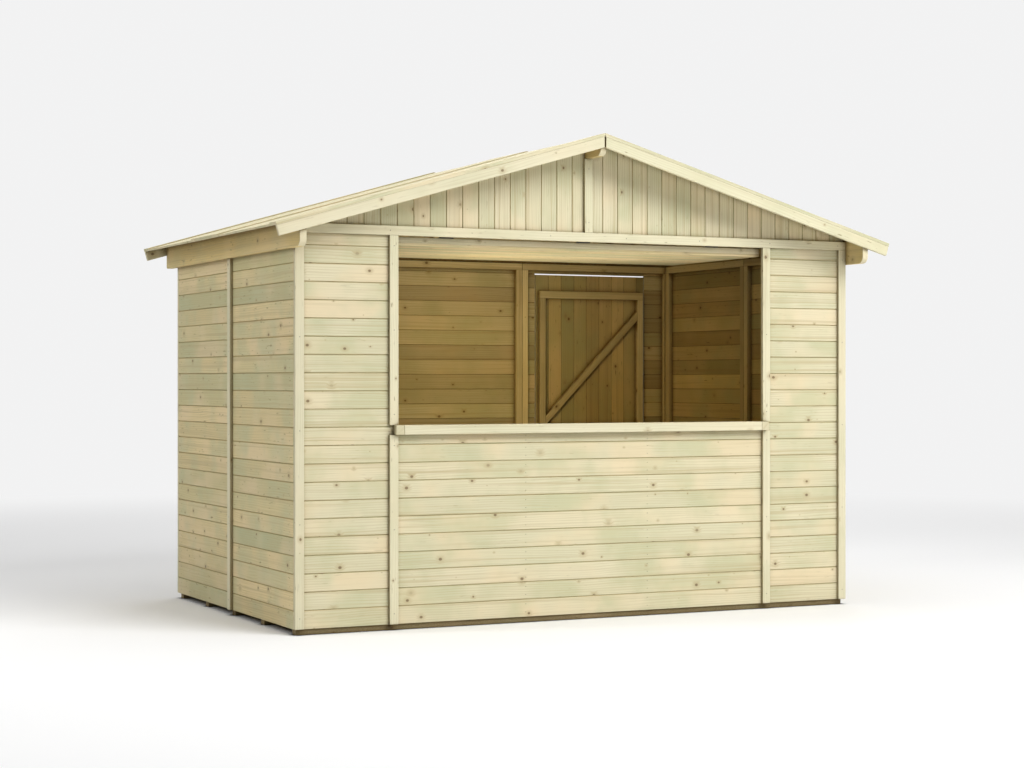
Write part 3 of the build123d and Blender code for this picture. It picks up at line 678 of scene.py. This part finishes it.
def clad_roof(node, side):
    """Boards from the ridge down to the eave. The fields lie lower than the verge
    boards and the middle run, as the steps in the CAD deck's top show."""
    part = solids_of(node)[0]
    places = [vert.co.copy() for vert in part.verts]
    part.free()
    ridge_x = min(abs(place.x) for place in places) * side
    ridge = [place for place in places if abs(place.x - ridge_x) < WELD]
    under_z, field_z, top_z = sorted({round(place.z, STEP_DIGITS) for place in ridge})
    eave = max(places, key=lambda place: (round(place.x * side, STEP_DIGITS), place.z))
    down = Vector((eave.x - ridge_x, 0, eave.z - top_z))
    run = down.length
    down.normalize()
    up = Vector((-down.z * side, 0, abs(down.x)))
    foot = Vector((ridge_x, 0, top_z)) - up * ((top_z - under_z) * up.z)
    stops = sorted({round(place.y, STEP_DIGITS) for place in ridge})
    timbers = Timbers(node + "_cladding")
    for i, (start_y, finish_y) in enumerate(zip(stops, stops[1:])):
        thick = ((field_z if i % 2 else top_z) - under_z) * up.z
        clad(timbers, foot + Y * start_y, down, Y, up, lambda a: run, finish_y - start_y, thick,
             cover=ROOF_BOARD_COVER)
    timbers.finish(node)


def split_ledge(node):
    """A front board between two side battens that show their end grain."""
    low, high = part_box(node)
    inner_low, inner_high = low.x + LEDGE_BLOCK_WIDTH, high.x - LEDGE_BLOCK_WIDTH
    timbers = Timbers(node + "_timber")
    for start, finish, along in (
        (low.x, inner_low - LEDGE_JOINT, Y),
        (inner_low, inner_high, X),
        (inner_high + LEDGE_JOINT, high.x, Y),
    ):
        timbers.beam(Vector((start, low.y, low.z)), Vector((finish, high.y, high.z)), along)
    timbers.finish(node)


# Boards
# The side walls, hatch and door take the darker warm tones as painted shade
clad_node("left_wall_boards", Y, Z, -X, tones=SHADE_WARM_TONES)
clad_node("right_wall_boards", Y, Z, X, tones=SHADE_WARM_TONES)
clad_node("back_wall_boards", X, Z, Y)
clad_node("doorway_side_boards", X, Z, Y)
clad_node("front_wall_boards", X, Z, -Y)
clad_node("counter_panel_boards", X, Z, -Y)
clad_node("floor_boards", Y, X, Z, cover=FLOOR_BOARD_COVER, bevel=FLAT_BEVEL)
clad_node("hatch_boards", X, Y, -Z, tones=SHADE_WARM_TONES)
clad_node("door_boards", Z, X, Y, body=DOOR, tones=SHADE_WARM_TONES)
clad_node("doorway_head_boards", X, Z, Y)
clad_gable("front_gable_boards", -Y)
clad_gable("back_gable_boards", Y)
clad_roof("left_roof_boards", -1)
clad_roof("right_roof_boards", 1)
split_ledge("counter_ledge")

# Timbers that keep their CAD shape, with eased edges
# Frames in the room, and the door's frame below, take the painted room shade
ROOM_FRAMES = (
    "left_wall_uprights", "left_wall_rails", "right_wall_uprights", "right_wall_rails",
    "back_wall_uprights", "back_wall_rails", "counter_panel_uprights", "counter_panel_rails",
    "gable_rails", "gable_frames",
)
OPEN_TIMBERS = (
    "front_wall_uprights", "front_wall_rails", "hatch_rails", "hatch_stiles", "floor_bearers",
    "ridge_purlin", "eave_purlins", "front_bargeboards", "back_bargeboards",
)
STRIPS = ("corner_strips", "bay_strips", "joint_strips", "head_strips", "gable_strips")
for node in ROOM_FRAMES:
    dress(node, in_room=True)
for node in OPEN_TIMBERS + STRIPS:
    dress(node)
for node in ("door_ledges", "door_stiles", "door_braces"):
    dress(node, DOOR, in_room=True)
dress("hatch_hinges", ease=METAL_EASE)
dress("door_hinge_plates", ease=METAL_EASE)
dress("door_hinge_straps", DOOR, METAL_EASE)


# Nails and screws

def heads(name, slot, body, spots, radius, rise):
    """Low domed heads of nails or screws, each at a place with a way out."""
    mesh = bmesh.new()
    turns = [2 * math.pi * i / HEAD_SIDES for i in range(HEAD_SIDES)]
    for place, out in spots:
        side = out.orthogonal().normalized()
        other = out.cross(side)
        spokes = [side * math.cos(turn) + other * math.sin(turn) for turn in turns]
        lower, upper = [
            [mesh.verts.new(place + out * (lift * rise) + spoke * radius * share) for spoke in spokes]
            for share, lift in HEAD_RINGS
        ]
        crown = mesh.verts.new(place + out * rise)
        mesh.faces.new(lower[::-1])
        for i in range(HEAD_SIDES):
            j = (i + 1) % HEAD_SIDES
            mesh.faces.new((lower[i], lower[j], upper[j], upper[i]))
            mesh.faces.new((upper[i], upper[j], crown))
    piece = add_object(name, mesh, MATERIALS[slot])
    piece.data.polygons.foreach_set("use_smooth", [True] * len(piece.data.polygons))
    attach(piece, body)


def strip_spots(node):
    """Nail places down the middle of each strip of a node, on its outer face."""
    centre = (cad_low + cad_high) / 2
    spots = []
    for low, high in solid_boxes(node):
        size = high - low
        thin = min(range(3), key=lambda i: size[i])
        long = max(range(3), key=lambda i: size[i])
        middle = (low + high) / 2
        out = Vector((0, 0, 0))
        out[thin] = 1.0 if middle[thin] > centre[thin] else -1.0
        span = size[long] - 2 * STRIP_NAIL_INSET
        count = max(2, round(span / STRIP_NAIL_PITCH) + 1)
        for i in range(count):
            place = middle.copy()
            place[thin] = high[thin] if out[thin] > 0 else low[thin]
            place[long] = low[long] + STRIP_NAIL_INSET + i * span / (count - 1)
            spots.append((place, out))
    return spots


def board_spots(boards, uprights, along, out):
    """Nail places on each board where it crosses an upright of the frame behind it."""
    spots = []
    for low, high in solid_boxes(boards):
        outer = high if sum(out) > 0 else low
        face = Vector([abs(out[i]) * outer[i] for i in range(3)])
        for upright_low, upright_high in solid_boxes(uprights):
            line = (upright_low + upright_high).dot(along) / 2
            if not low.dot(along) < line < high.dot(along):
                continue
            for start, width in rows((high - low).z, BOARD_COVER):
                for share in NAIL_SHARES:
                    place = along * line + Z * (low.z + start + width * share)
                    spots.append((place + face, out))
    return spots


def strap_spots(node):
    """Screw places along each strap of the door, on its outer face."""
    spots = []
    for low, high in solid_boxes(node):
        middle = (low + high) / 2
        face_y = max(place.y for place in vertex_places(node) if place.x > middle.x)
        for share in STRAP_SCREW_SHARES:
            spots.append((Vector((low.x + share * (high.x - low.x), face_y, middle.z)), Y))
    return spots


def plate_spots(node):
    """Screw places in a column on each wall plate, on its outer face."""
    edge_low, edge_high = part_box(node)
    corner = [place for place in vertex_places(node)
              if place.x < edge_low.x + WELD and place.z > edge_high.z - WELD]
    face_y = max(place.y for place in corner)
    spots = []
    for low, high in solid_boxes(node):
        for share in PLATE_SCREW_SHARES:
            spots.append((Vector((low.x + PLATE_SCREW_INSET, face_y, low.z + share * (high.z - low.z))), Y))
    return spots


strip_nails = [spot for node in STRIPS for spot in strip_spots(node)]
heads("strip_nails", "nail_steel", STALL, strip_nails, STRIP_NAIL_RADIUS, NAIL_RISE)
for boards, uprights, along, out in (
    ("left_wall_boards", "left_wall_uprights", Y, -X),
    ("right_wall_boards", "right_wall_uprights", Y, X),
    ("back_wall_boards", "back_wall_uprights", X, Y),
    ("front_wall_boards", "front_wall_uprights", X, -Y),
    ("counter_panel_boards", "counter_panel_uprights", X, -Y),
):
    nails = board_spots(boards, uprights, along, out)
    heads(boards + "_nails", "nail_steel", STALL, nails, NAIL_RADIUS, NAIL_RISE)
straps = strap_spots("door_hinge_straps")
heads("strap_screws", "black_hinge_steel", DOOR, straps, SCREW_RADIUS, SCREW_RISE)
plates = plate_spots("door_hinge_plates")
heads("plate_screws", "black_hinge_steel", STALL, plates, SCREW_RADIUS, SCREW_RISE)


# Studio

def sky():
    """A plain pale backdrop for the camera, and a soft dim sky for the object."""
    world = bpy.data.worlds.new("studio")
    bpy.context.scene.world = world
    s = Shader(world, "Background")
    s.fill(s.surface, Color=WHITE, Strength=SKY_LEVEL)
    backdrop = s.add("ShaderNodeBackground", Color=BACKDROP)
    rays = s.add("ShaderNodeLightPath").outputs
    bent = s.math("MAXIMUM", rays["Is Glossy Ray"], rays["Is Transmission Ray"])
    seen = s.math("MAXIMUM", rays["Is Camera Ray"], bent)
    s.fill(s.tree.nodes["World Output"], Surface=s.choose(seen, s.surface, backdrop))


def studio_floor():
    """A pale floor that keeps the shadow near the stall, with a painted contact shadow where the stall
    stands on it, and fades into the backdrop.
    """
    mesh = bmesh.new()
    bmesh.ops.create_circle(mesh, cap_ends=True, segments=FLOOR_SIDES, radius=FLOOR_RADIUS)
    material = bpy.data.materials.new("pale_floor")
    s = Shader(material)
    # painted contact shadow, darkest where the floor is shut in by the stall
    contact_shadow = s.remap(s.openness(CONTACT_SHADOW_REACH), *CONTACT_SHADOW_RANGE)
    s.fill(s.surface, Base_Color=s.mix(contact_shadow, FLOOR_COLOUR, CONTACT_SHADOW_COLOUR), Roughness=FLOOR_ROUGHNESS,
           Specular_IOR_Level=0.0)
    far = s.add("ShaderNodeVectorMath", {"operation": "LENGTH"})
    s.put(far.inputs[0], s.add("ShaderNodeNewGeometry").outputs["Position"])
    fade = s.remap(far.outputs["Value"], *FADE_RANGE)
    glow = s.add("ShaderNodeEmission", Color=BACKDROP, Strength=1.0)
    seen = s.add("ShaderNodeLightPath").outputs["Is Camera Ray"]
    faded = s.choose(s.math("MULTIPLY", fade, seen), s.surface, glow)
    s.fill(s.tree.nodes["Material Output"], Surface=faded)
    floor = add_object("studio_floor", mesh, material)


def softbox(name, place, target, size, power, spread, colour):
    """A rectangular studio lamp that faces a point."""
    lamp = bpy.data.lights.new(name, "AREA")
    lamp.shape = "RECTANGLE"
    lamp.size, lamp.size_y = size
    lamp.energy = power
    lamp.color = colour
    lamp.spread = math.radians(spread)
    holder = bpy.data.objects.new(name, lamp)
    holder.location = place
    holder.rotation_mode = "QUATERNION"
    holder.rotation_quaternion = (Vector(target) - Vector(place)).to_track_quat("-Z", "Y")
    holder.visible_camera = False
    bpy.context.scene.collection.objects.link(holder)


sky()
studio_floor()
for lamp in LAMPS:
    softbox(*lamp)

camera = bpy.data.objects.new("camera", bpy.data.cameras.new("camera"))
camera.data.sensor_width = SENSOR_WIDTH
camera.data.lens = FOCAL_PX * SENSOR_WIDTH / IMAGE_WIDTH
tilt = math.atan((IMAGE_HEIGHT / 2 - HORIZON_PX) / FOCAL_PX)
camera.location = CAMERA_PLACE
camera.rotation_euler = (math.pi / 2 - tilt, 0.0, CAMERA_TURN)
bpy.context.scene.collection.objects.link(camera)
bpy.context.scene.camera = camera
bpy.context.scene.view_settings.view_transform = "Standard"
